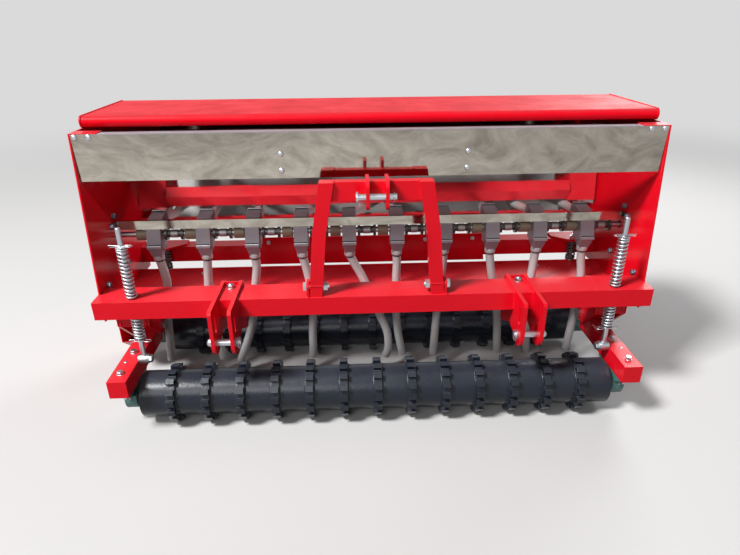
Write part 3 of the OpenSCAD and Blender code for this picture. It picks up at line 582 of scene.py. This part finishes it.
# Spout lips. A bright rolled edge crosses the front of each spout over a thin black strip, which is
# a painted shade line of the groove round the lip. Two small nuts beside the cup hold it to the
# seed channel.
lip_y, lip_z, lip_half, lip_taper = 0.0168, 0.5415, 0.0238, 0.0006
lip_radii = [0.0010, 0.0016, 0.0016, 0.0010]
shade_line_half, shade_line_y_ends, shade_line_z_ends = 0.0236, (0.0163, 0.0170), (0.5365, 0.5467)
nut_step, nut_y, channel_under = 0.031, 0.046, 0.597
lip_run = np.array([(-lip_half, lip_y, lip_z), (lip_taper - lip_half, lip_y, lip_z),
                    (lip_half - lip_taper, lip_y, lip_z), (lip_half, lip_y, lip_z)])
lip_shapes, shade_line_shapes = [], []
for row in range(rows):
    x = row_x(row)
    lip_shapes.append(skin(tube_rows(lip_run + (x, 0, 0), lip_radii, 14, (0, 0, 1))))
    shade_line_shapes.append(square_bar((x - shade_line_half, x + shade_line_half), shade_line_y_ends, shade_line_z_ends))
    lip_shapes += [aimed(hex_head(0.008, 0.0036), (x + step, nut_y, channel_under), (0, 0, -1))
                   for step in (-nut_step, nut_step)]
add_piece("spout_lips", gather(lip_shapes), "frame", zinc)
# Thin black strips above and below each lip: painted shade.
add_piece("spout_shade_lines", gather(shade_line_shapes), "frame", black_rubber_and_painted_shade)


# Plated steel. The pins, bolts, rods and the metering shaft are zinc plated and passivated, which
# leaves a soft metal gloss. Hexagon bolts with nuts below hold the bearings under the arms.
coat_nodes(["metering_shaft", "mast_bolts", "top_link_pin", "arm_pivots", "rear_rods"], zinc)
arm_bolts = [(0.822, -0.272), (0.822, -0.146), (0.850, 0.149), (0.850, 0.275)]
bearing_foot_under = 0.145
arm_cap_x, arm_cap_ys = 0.829, (-0.204, 0.212)
hitch_bolt = (0.474, -0.127, 0.448)
centre_plate_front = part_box("rear_centre_plate")[0].y
centre_bolts = [(x, centre_plate_front, 0.463) for x in (0.210, 0.395)]
shield_bolts = [(x, 0.170, 0.3657) for x in (0.232, 0.640)]
frame_bolts = [aimed(hex_head(0.019, 0.0085), (x, y, arm_top), (0, 0, 1)) for x, y in arm_bolts]
frame_bolts += [aimed(hex_head(0.019, 0.010, 0.007), (x, y, bearing_foot_under), (0, 0, -1))
                for x, y in arm_bolts]
frame_bolts += [aimed(dome_head(0.0055, 0.003), (arm_cap_x, y, arm_top), (0, 0, 1))
                for y in arm_cap_ys]
frame_bolts += [aimed(hex_head(0.021, 0.010, 0.003), hitch_bolt, (0, 0, 1))]
frame_bolts += [aimed(hex_head(0.013, 0.006), place, (0, -1, 0)) for place in centre_bolts]
frame_bolts += [aimed(hex_head(0.013, 0.006), place, (0, 0, 1)) for place in shield_bolts]
add_piece("frame_bolts", both_sides(gather(frame_bolts)), "frame", zinc)


# Lower hitch pins. A plated 22 mm pin with a domed head outside crosses each pair of hitch plates.
# A washer and a ring of wire hold its inner end.
hitch_pin_y, hitch_pin_z = -0.284, 0.337


def circle_yz(x, y, z, radius, count=40):
    """Points of a closed circle square to X."""
    a = np.linspace(0, 2 * math.pi, count + 1)
    return np.stack([np.full(count + 1, x), y + radius * np.cos(a), z + radius * np.sin(a)], 1)


# Each turned part has its start on X and its rows of radius and length: the bar, the washer and
# the head.
hitch_in, hitch_out = (corner.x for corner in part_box("lower_hitch_right"))
pin_parts = [(hitch_in - 0.0135, [(0.0094, 0), (0.0110, 0.0016), (0.0110, 0.0900)]),
             (hitch_in - 0.0042, [(0.0146, 0), (0.0154, 0.0007), (0.0154, 0.0035),
                                  (0.0146, 0.0042)]),
             (hitch_out, [(0.0142, 0), (0.0150, 0.0008), (0.0150, 0.0070), (0.0132, 0.0082),
                          (0.0126, 0.0135), (0.0104, 0.0180), (0.0060, 0.0205)])]
pin_shapes = [aimed(skin(turned(profile, 40)), (x, hitch_pin_y, hitch_pin_z), (1, 0, 0))
              for x, profile in pin_parts]
ring_line = circle_yz(hitch_in - 0.0079, hitch_pin_y, hitch_pin_z - 0.003, 0.0170)
pin_shapes.append(skin(tube_rows(ring_line, 0.0017, 10, (1, 0, 0))))
hitch_pins = add_piece("lower_pins_and_rings", both_sides(gather(pin_shapes)), "frame",
                       zinc)
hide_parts("lower_hitch_pins")


# Pressure rods. A 16 mm bright rod is welded to an eye that is bolted inside each front arm, and
# slides through the beam. A washer at each end holds its springs.
rod_x, rod_y, eye_z = 0.772, -0.188, 0.225
rod_rows = [(0.0080, 0.232), (0.0080, 0.6815), (0.0075, 0.6836), (0.0062, 0.6850)]
washer_rows = np.array([(0.0170, 0), (0.0180, 0.0006), (0.0180, 0.0024), (0.0170, 0.0030)])
washer_heights = (0.300, 0.622)
eye_rows = [(0.0142, 0), (0.0158, 0.0018), (0.0158, 0.0272), (0.0142, 0.0290)]
eye_washer_rows = [(0.0150, 0), (0.0162, 0.0008), (0.0162, 0.0032), (0.0150, 0.0040)]
eye_x, eye_washer_x, rod_weld_radius, rod_weld_z = 0.761, 0.757, 0.0088, 0.2405
rod_shapes = [aimed(skin(turned(profile, 36)), (rod_x, rod_y, 0), (0, 0, 1))
              for profile in [rod_rows] + [washer_rows + (0, z) for z in washer_heights]]
rod_shapes += [aimed(skin(turned(profile, 40)), (x, rod_y, eye_z), (1, 0, 0))
               for x, profile in ((eye_x, eye_rows), (eye_washer_x, eye_washer_rows))]
rod_weld_line = [(rod_x + rod_weld_radius * math.cos(a), rod_y + rod_weld_radius * math.sin(a),
                  rod_weld_z) for a in np.linspace(0, 2 * math.pi, 33)]
rod_shapes += [aimed(hex_head(0.023, 0.0095), (eye_washer_x, rod_y, eye_z), (-1, 0, 0)),
               weld_bead(rod_weld_line, 0.0020, (0, 0, 1))]
pressure_rods = add_piece("pressure_rods_and_eyes", both_sides(gather(rod_shapes)), "frame",
                          zinc)
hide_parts("pressure_rods")


# Spring clips and the top link pin's ring. Hairpins of 2.4 mm bright wire cross the pressure rods
# over and under their springs, and a wire ring on one side and a drop on the other lock the pin.
def wire_run(points, radius, steps=8):
    """A round wire along a smooth curve through points."""
    return skin(tube_rows(smooth_path(points, steps), radius, 10, (0.3, 0.2, 1)))


hairpin = np.array([(0.038, 0), (0.020, 0), (0, 0), (-0.018, 0), (-0.029, 0.0005),
                    (-0.0365, -0.006), (-0.031, -0.0135), (-0.020, -0.0135), (-0.010, -0.0105),
                    (0, -0.0118), (0.010, -0.0105), (0.020, -0.0125), (0.028, -0.016)])
clip_heights = (0.6285, 0.2975)
link_pin_y, link_pin_z = -0.258, 0.785
clip_wires = [wire_run(np.column_stack([rod_x + hairpin[:, 0], rod_y + hairpin[:, 1],
                                        np.full(len(hairpin), z)]), 0.0012)
              for z in clip_heights]
lynch_ring = skin(tube_rows(circle_yz(0.047, link_pin_y, link_pin_z, 0.0125), 0.0014, 8, (1, 0, 0)))
pin_drop = wire_run([(-0.0500, link_pin_y, link_pin_z - 0.008),
                     (-0.0505, link_pin_y - 0.0005, link_pin_z - 0.017),
                     (-0.0500, link_pin_y - 0.001, link_pin_z - 0.028)], 0.0016)
add_piece("spring_clips", gather([both_sides(gather(clip_wires)), lynch_ring, pin_drop]), "frame",
          zinc, sharp=60)


# Metering sleeves and spools. Bronze brown moulded sleeves and black painted spools are pinned on
# the shaft and turn with it.
bronze = finish_material(
    "bronze_sleeve",
    {"Colour": (0.205, 0.170, 0.115, 1), "Roughness": 0.42, "Mottle": 0.5,
     "Dust And Sheen Colour": (0.40, 0.33, 0.25, 1), "Dust And Sheen": 0.3, "Wear Colour": (0.35, 0.24, 0.13, 1),
     "Wear": 0.8, "Edge Radius": 0.001, "Grain Scale": 240.0, "Grain Height": 0.0001},
    {"Specular IOR Level": 0.4})
coat_nodes(["metering_sleeves"], bronze)
black_paint = finish_material(
    "black_paint",
    {"Colour": (0.018, 0.018, 0.021, 1), "Roughness": 0.32, "Mottle": 0.4,
     "Dust And Sheen Colour": (0.26, 0.22, 0.18, 1), "Dust And Sheen": 0.4, "Wear Colour": (0.16, 0.14, 0.12, 1),
     "Wear": 0.6, "Edge Radius": 0.0010, "Grain Scale": 260.0, "Grain Height": 0.0002},
    {"Coat Weight": 0.2, "Coat Roughness": 0.2})
coat_nodes(["metering_spools"], black_paint)


# Spool bands. A band of dull steel is pressed on the middle of each black spool, between its two
# flanges, and turns with it.
dull_steel = finish_material(
    "dull_steel",
    {"Colour": (0.30, 0.30, 0.31, 1), "Roughness": 0.45, "Mottle": 0.4,
     "Dust And Sheen Colour": (0.35, 0.30, 0.25, 1), "Dust And Sheen": 0.2, "Wear Colour": (0.4, 0.4, 0.4, 1),
     "Wear": 0.2, "Edge Radius": 0.0006, "Grain Scale": 400.0, "Grain Height": 0.0001},
    {"Metallic": 0.6})
shaft_y, shaft_z = 0.070, 0.569


def around_shaft(x, profile, sides, ribs=1, rib_high=0.0):
    """A shape turned about the metering shaft. Each row of the profile is a place on X, from x, and
    a radius, to which rib_high is added where cos(ribs a) is above nought."""
    profile = np.asarray(profile, float)
    a = np.linspace(0, 2 * math.pi, sides, endpoint=False)[None]
    radius = profile[:, 1:] + rib_high * (np.cos(ribs * a) > 0)
    return skin(np.stack([np.broadcast_to(x + profile[:, :1], radius.shape),
                          shaft_y + radius * np.cos(a), shaft_z + radius * np.sin(a)], 2))


band_rows = [(0.0500, 0.0138), (0.0506, 0.0144), (0.0734, 0.0144), (0.0740, 0.0138)]
add_piece("spool_bands", gather([around_shaft(row_x(row), band_rows, 32) for row in range(rows)]),
          "metering", dull_steel)


# Bearings. Cast iron pillow blocks in green blue paint hang under the arms. Each has a raised ring
# round its bore on both faces, and a plated grease nipple on its outer side.
teal_cast = finish_material(
    "teal_casting",
    {"Colour": (0.048, 0.150, 0.138, 1), "Roughness": 0.42, "Mottle": 0.4,
     "Dust And Sheen Colour": (0.34, 0.30, 0.25, 1), "Dust And Sheen": 0.5, "Wear Colour": (0.20, 0.21, 0.20, 1),
     "Wear": 0.7, "Edge Radius": 0.0025, "Grain Scale": 190.0, "Grain Height": 0.0008},
    {"Specular IOR Level": 0.45})
coat_nodes(["front_bearings", "rear_bearings"], teal_cast)


def hoop(section, sides):
    """A ring turned round Z from a closed section of radius and height."""
    rings = turned(np.asarray(section, float), sides)
    count = len(section)
    i = np.arange(count * sides)
    right = i - i % sides + (i + 1) % sides
    up = (i + sides) % (count * sides)
    return rings.reshape(-1, 3), np.stack([i, right, (right + sides) % (count * sides), up],
                                          1).tolist()


roller_axis_z = 0.097528
roller_axes = {"front": -0.203, "rear": 0.212}
bearing_places = [(0.820, roller_axes["front"]), (0.850, roller_axes["rear"])]
bearing_half, nipple_out, nipple_up = 0.020, 0.0455, 0.012
face_ring = [(0.0225, -0.001), (0.0420, -0.001), (0.0405, 0.0016), (0.0240, 0.0016)]
nipple_rows = [(0.0034, 0), (0.0034, 0.004), (0.0020, 0.0045), (0.0026, 0.008), (0.0015, 0.0105)]
nipple = skin(turned(nipple_rows, 12))
cast_rings = [aimed(hoop(face_ring, 48), (x + side * bearing_half, y, roller_axis_z), (side, 0, 0))
              for x, y in bearing_places for side in (-1, 1)]
add_piece("bearing_faces", both_sides(gather(cast_rings)), "frame", teal_cast)
nipples = [aimed(nipple, (x, y + turn * nipple_out, roller_axis_z + nipple_up), (0, turn, 0.25))
           for (x, y), turn in zip(bearing_places, (-1, 1))]
add_piece("grease_nipples", both_sides(gather(nipples)), "frame", zinc)


# Rollers. Steel tubes with cogged rings run on stub shafts in the bearings. They are painted gloss
# black, with dry soil on what faces up.
roller_paint = finish_material(
    "roller_paint",
    {"Colour": (0.007, 0.010, 0.018, 1), "Roughness": 0.24, "Mottle": 0.5,
     "Dust And Sheen Colour": (0.088, 0.094, 0.110, 1), "Dust And Sheen": 0.18, "Wear Colour": (0.22, 0.19, 0.16, 1),
     "Wear": 0.8, "Edge Radius": 0.0016, "Grain Scale": 120.0, "Grain Height": 0.0005},
    {"Specular IOR Level": 0.32})
coat_nodes(["front_drum", "rear_drum", "front_stubs", "rear_stubs"], roller_paint)


# Roller welds. Each cogged ring is welded to its tube on both faces, and each end disc to its stub,
# with a rippled bead under the black paint.
drum_radius, ring_half, ring_pitch, ring_count = 0.076, 0.013, 0.113, 13
ring_faces = [(i - (ring_count - 1) / 2) * ring_pitch + side * (ring_half + 0.001)
              for i in range(ring_count) for side in (-1, 1)]
stub_weld_out, stub_weld_radius = 0.0085, 0.0182
for end, axis_y in roller_axes.items():
    drum_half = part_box(end + "_drum")[1].x
    roller_welds = [weld_bead(circle_yz(x, axis_y, roller_axis_z, drum_radius + 0.0006, 90),
                              0.0030, (1, 0, 0), step=0.0040) for x in ring_faces]
    roller_welds += [weld_bead(circle_yz(side * (drum_half + stub_weld_out), axis_y, roller_axis_z,
                                         stub_weld_radius), 0.0025, (1, 0, 0))
                     for side in (-1, 1)]
    add_piece(end + "_roller_welds", gather(roller_welds), end + "_roller",
              roller_paint, sharp=60)


# Springs. Cold wound from round wire, with closed ends: the pressure springs are zinc plated, and
# the rear pair is black.
def wound_wire(place, low, high, mean_radius, wire, turns):
    """A compression spring along Z. After t turns the wire's middle is at the mean radius and the
    angle 2 pi t, and it rises by one wire in the first and last turn and evenly between them."""
    t = np.linspace(0, turns, turns * 30 + 1)
    open_part = np.clip((t - 1) / (turns - 2), 0, 1)
    rise = (low + wire / 2 + wire * (np.minimum(t, 1) + np.maximum(t - turns + 1, 0))
            + (high - low - 3 * wire) * open_part)
    path = np.stack([place[0] + mean_radius * np.cos(2 * math.pi * t),
                     place[1] + mean_radius * np.sin(2 * math.pi * t), rise], 1)
    return skin(tube_rows(path, wire / 2, 10, (0, 0, 1)))


# Each spring has its rod's place, its lowest and highest point, its mean radius, its wire, its
# turns, its slot and its finish.
rear_rod = (0.787, 0.222)
spring_seats = {
    "upper_springs": ((rod_x, rod_y), 0.450, 0.622, 0.0145, 0.0065, 14, "zinc_plate", zinc),
    "lower_springs": ((rod_x, rod_y), 0.303, 0.390, 0.0145, 0.0065, 8, "zinc_plate", zinc),
    "rear_springs": (rear_rod, 0.374, 0.450, 0.0155, 0.0060, 7, "black_spring", black_paint)}
for node, (place, low, high, mean_radius, wire, turns, slot, material) in spring_seats.items():
    coil_shape = both_sides(wound_wire(place, low, high, mean_radius, wire, turns))
    coil = add_piece("wound_" + node, coil_shape, "frame", material, sharp=60)
    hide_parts(node)


# Rate adjuster's knob and guard screws. A black ribbed grip is pressed on the knob, and small
# screws hold the guard's rim and the adjuster's cover.
knob_rows = [(0.926, 0.0242), (0.9275, 0.0252), (0.9400, 0.0252), (0.9415, 0.0242)]
add_piece("knob_grip", around_shaft(0, knob_rows, 144, 24, 0.0012), "frame",
          black_rubber_and_painted_shade)
guard_low, guard_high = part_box("chain_guard")
cover_low, cover_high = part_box("rate_adjuster")
guard_x, cover_x, strap_back = -0.915, 0.906, 0.291
screw_places = [((guard_x, 0.050, guard_high.z), (0, 0, 1)),
                ((guard_x, guard_low.y, 0.560), (0, -1, 0)),
                ((cover_x, 0.042, cover_high.z), (0, 0, 1)),
                ((cover_x, 0.098, cover_high.z), (0, 0, 1)),
                ((cover_x, cover_low.y, 0.540), (0, -1, 0)),
                ((cover_x, cover_high.y, 0.540), (0, 1, 0))]
cover_screws = [aimed(dome_head(0.005, 0.003), place, axis) for place, axis in screw_places]
add_piece("cover_screws", gather(cover_screws), "frame", zinc)
strap_screws = [aimed(dome_head(0.0045, 0.0026), (x + step, strap_back, 0.974), (0, 1, 0))
                for x in hinge_places for step in (-0.012, 0.012)]
add_piece("strap_screws", gather(strap_screws), "lid", zinc)


# Floor and light. A plain pale floor fades into a pale backdrop. A soft lamp stands high at left,
# as the sun does in the photograph, with weaker ones before and behind and an even sky.
floor_size = 60.0
floor_mesh = bpy.data.meshes.new("floor")
floor_mesh.from_pydata([(-floor_size, -floor_size, 0), (floor_size, -floor_size, 0),
                        (floor_size, floor_size, 0), (-floor_size, floor_size, 0)], [],
                       [(0, 1, 2, 3)])
floor = bpy.data.objects.new("floor", floor_mesh)
bpy.context.scene.collection.objects.link(floor)
pale = (0.70, 0.70, 0.70, 1)
floor_paint = bpy.data.materials.new("pale_floor")
floor_paint.use_nodes = True
floor_tree = floor_paint.node_tree
floor_shader = floor_tree.nodes["Principled BSDF"]
floor_shader.inputs["Roughness"].default_value = 0.85
bounce = place_node(floor_tree, "ShaderNodeLightPath").outputs["Is Diffuse Ray"]
floor_colour = place_node(floor_tree, "ShaderNodeMix", {"data_type": "RGBA"},
                          {0: bounce, 6: (0.45, 0.445, 0.44, 1), 7: (0.10, 0.10, 0.098, 1)})
floor_tree.links.new(floor_colour.outputs[2], floor_shader.inputs["Base Color"])
floor_place = place_node(floor_tree, "ShaderNodeTexCoord").outputs["Object"]
distance = place_node(floor_tree, "ShaderNodeVectorMath", {"operation": "LENGTH"},
                      {0: floor_place}).outputs["Value"]
far_off = place_node(floor_tree, "ShaderNodeMapRange", {"interpolation_type": "SMOOTHSTEP"},
                     {"Value": distance, "From Min": 2.2, "From Max": 7.0}).outputs[0]
haze = place_node(floor_tree, "ShaderNodeEmission", inputs={"Color": pale, "Strength": 1.0})
floor_mix = place_node(floor_tree, "ShaderNodeMixShader",
                       inputs={0: far_off, 1: floor_shader.outputs[0], 2: haze.outputs[0]})
floor_tree.links.new(floor_mix.outputs[0],
                     floor_tree.nodes["Material Output"].inputs["Surface"])
floor_mesh.materials.append(floor_paint)


def soft_lamp(name, place, aim, size, power):
    """A square area lamp at a place, turned to its aim."""
    lamp = bpy.data.objects.new(name, bpy.data.lights.new(name, "AREA"))
    lamp.data.size = size
    lamp.data.energy = power
    lamp.matrix_world = (Matrix.Translation(place)
                         @ (Vector(aim) - Vector(place)).to_track_quat("-Z", "Y")
                         .to_matrix().to_4x4())
    bpy.context.scene.collection.objects.link(lamp)


soft_lamp("key_lamp", place=(-6.2, -4.1, 9.65), aim=(0, 0, 0.4), size=2.2, power=2500)
soft_lamp("front_lamp", place=(-1.6, -5.0, 3.4), aim=(0, 0, 0.4), size=2.5, power=105)
soft_lamp("back_lamp", place=(2.6, 2.8, 2.9), aim=(0, 0, 0.5), size=2.0, power=120)

world = bpy.data.worlds.new("studio")
world.use_nodes = True
bpy.context.scene.world = world
sky = world.node_tree.nodes["Background"]
sky.inputs["Color"].default_value = (0.90, 0.93, 1.0, 1)
sky.inputs["Strength"].default_value = 0.09
backdrop = place_node(world.node_tree, "ShaderNodeBackground",
                      inputs={"Color": pale, "Strength": 1.0})
rays = place_node(world.node_tree, "ShaderNodeLightPath").outputs
seen = place_node(world.node_tree, "ShaderNodeMath", {"operation": "MAXIMUM"},
                  {0: rays["Is Camera Ray"], 1: rays["Is Transmission Ray"]})
shown = place_node(world.node_tree, "ShaderNodeMath", {"operation": "MAXIMUM"},
                   {0: seen.outputs[0], 1: rays["Is Glossy Ray"]})
either = place_node(world.node_tree, "ShaderNodeMixShader",
                    inputs={0: shown.outputs[0], 1: sky.outputs[0], 2: backdrop.outputs[0]})
world.node_tree.links.new(either.outputs[0],
                          world.node_tree.nodes["World Output"].inputs["Surface"])
bpy.context.scene.view_settings.view_transform = "Standard"
